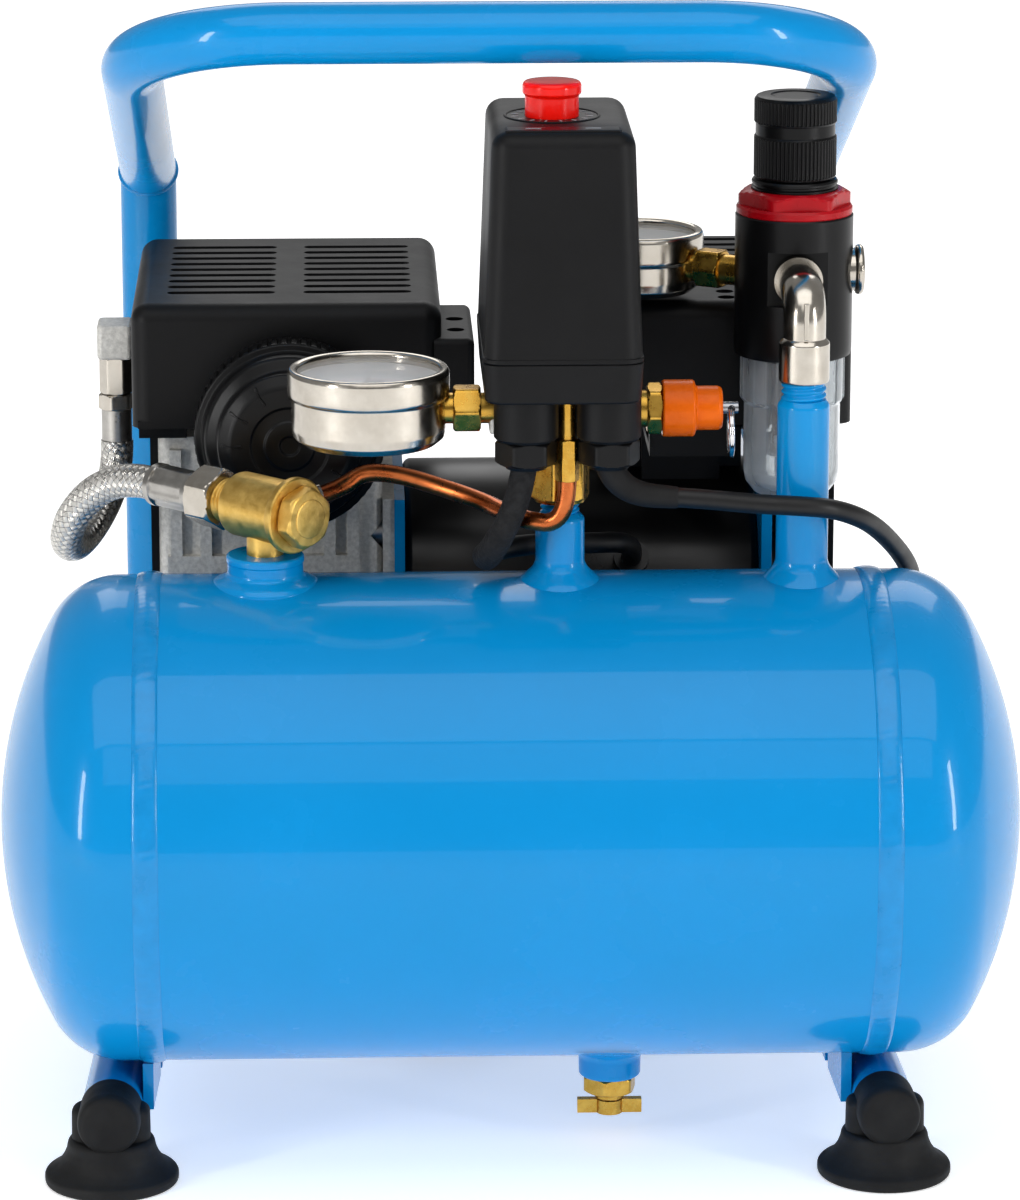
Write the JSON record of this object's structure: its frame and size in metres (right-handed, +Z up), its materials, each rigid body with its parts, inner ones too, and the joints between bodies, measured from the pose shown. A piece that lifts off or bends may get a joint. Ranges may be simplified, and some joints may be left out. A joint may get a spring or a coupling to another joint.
{
  "type": "air compressor",
  "caption": "Small portable oil-free air compressor: horizontal tank on a bent tube frame with a carry handle, pump and motor behind, pressure switch, gauges and filter regulator on top.",
  "frame": {"origin": "middle of the footprint, on the surface that the rubber feet stand on", "axes": "+Z up, +X to the right seen from the front, +Y to the back; the tank lies along X at the front"},
  "size_m": [0.335, 0.3012, 0.382],
  "materials": {
    "blue_paint": "gloss",
    "black_plastic": "fine grain",
    "black_gloss_paint": "gloss",
    "black_rubber": "matt",
    "cast_aluminium": "die cast, grainy",
    "machined_aluminium": "machined",
    "zinc_steel": "zinc plated",
    "bright_steel": "ground",
    "laminated_steel": "laminated",
    "braided_steel": "braided",
    "nickel": "nickel plated",
    "chrome": "polished",
    "brass": "machined",
    "copper": "drawn copper tube",
    "dial_white": "printed",
    "needle_black": "matt",
    "clear_lens": "clear",
    "clear_bowl": "moulded polycarbonate",
    "red_plastic": "gloss",
    "crimson_plastic": "gloss",
    "orange_anodised": "orange anodised",
    "filter_felt": "felt"
  },
  "bodies": {
    "frame": {"tank_shell": "blue_paint", "tank_heads": "blue_paint", "tank_sockets": "blue_paint", "frame_tube_left": "blue_paint", "frame_tube_right": "blue_paint", "handle": "blue_paint", "frame_brackets": "blue_paint", "feet_and_end_caps": "black_rubber", "crankcase": "cast_aluminium", "cylinder": "machined_aluminium", "valve_plate": "bright_steel", "cylinder_head": "cast_aluminium", "pump_screws": "zinc_steel", "bearings": "bright_steel", "stator": "laminated_steel", "motor_housing": "black_gloss_paint", "shroud_left": "black_plastic", "shroud_right": "black_plastic", "filter_housing": "black_plastic", "filter_element": "filter_felt", "run_capacitor": "black_plastic", "hose_fittings": "nickel", "discharge_hose": "braided_steel", "check_valve_body": "brass", "copper_tube": "copper", "tube_nuts": "brass", "switch_base": "black_plastic", "switch_cover": "black_plastic", "switch_manifold": "machined_aluminium", "contact_block": "black_plastic", "cable_glands": "black_plastic", "gauge_cases": "chrome", "gauge_dials": "dial_white", "gauge_lenses": "clear_lens", "relief_valve_body": "brass", "relief_valve_cap": "orange_anodised", "regulator_body": "black_plastic", "regulator_collar": "crimson_plastic", "regulator_bowl": "clear_bowl", "regulator_fittings": "nickel", "drain_valve_body": "brass", "motor_lead": "black_rubber", "mains_lead": "black_rubber", "mains_coil": "black_rubber", "mains_plug": "black_rubber"},
    "crank": {"motor_shaft": "bright_steel", "rotor": "laminated_steel", "eccentric": "bright_steel", "cooling_fan": "black_plastic"},
    "piston": {"piston_rod": "machined_aluminium"},
    "poppet": {"check_valve_poppet": "brass"},
    "button": {"switch_button": "red_plastic"},
    "spindle": {"regulator_spindle": "brass"},
    "knob": {"regulator_knob": "black_plastic"},
    "bowl_pin": {"bowl_drain": "nickel"},
    "relief_stem": {"relief_valve_stem": "bright_steel"},
    "relief_ring": {"relief_valve_ring": "bright_steel"},
    "wing": {"drain_wing": "brass"},
    "tank_needle": {"tank_gauge_needle": "needle_black"},
    "line_needle": {"line_gauge_needle": "needle_black"}
  },
  "joints": [
    {"name": "motor_spin", "type": "hinge", "parent": "frame", "child": "crank", "pos_m": [0, 0.0606, 0.154], "axis": [1, 0, 0], "continuous": true},
    {"name": "piston_stroke", "type": "slide", "parent": "frame", "child": "piston", "axis": [0, 0, 1], "range_m": [-0.006, 0.006]},
    {"name": "check_valve_lift", "type": "slide", "parent": "frame", "child": "poppet", "axis": [0.7071, -0.7071, 0], "range_m": [0, 0.002], "stiffness_N_per_m": 100, "springref_m": -0.004},
    {"name": "button_press", "type": "slide", "parent": "frame", "child": "button", "axis": [0, 0, -1], "range_m": [0, 0.005]},
    {"name": "knob_turn", "type": "hinge", "parent": "frame", "child": "spindle", "pos_m": [0.095, -0.0244, 0.32], "axis": [0, 0, 1], "range_deg": [-630, 630]},
    {"name": "knob_lift", "type": "slide", "parent": "spindle", "child": "knob", "axis": [0, 0, 1], "range_m": [0, 0.002]},
    {"name": "bowl_drain_push", "type": "slide", "parent": "frame", "child": "bowl_pin", "axis": [0, 0, 1], "range_m": [0, 0.002], "stiffness_N_per_m": 100, "springref_m": -0.002},
    {"name": "relief_pull", "type": "slide", "parent": "frame", "child": "relief_stem", "axis": [1, 0, 0], "range_m": [0, 0.003], "stiffness_N_per_m": 400, "springref_m": -0.003},
    {"name": "ring_swing", "type": "hinge", "parent": "relief_stem", "child": "relief_ring", "pos_m": [0.0715, -0.0694, 0.2515], "axis": [0, 1, 0], "range_deg": [-60, 8]},
    {"name": "drain_turn", "type": "hinge", "parent": "frame", "child": "wing", "pos_m": [0.033, -0.0694, 0.013], "axis": [0, 0, 1], "range_deg": [0, 540]},
    {"name": "tank_needle_sweep", "type": "hinge", "parent": "frame", "child": "tank_needle", "pos_m": [-0.046, -0.0694, 0.259], "axis": [0, 0, -1], "range_deg": [0, 270], "stiffness_Nm_per_rad": 0.00002, "springref_deg": -17.19},
    {"name": "line_needle_sweep", "type": "hinge", "parent": "frame", "child": "line_needle", "pos_m": [0.046, 0.0031, 0.29], "axis": [0, 0, -1], "range_deg": [0, 270], "stiffness_Nm_per_rad": 0.00002, "springref_deg": -17.19}
  ]
}
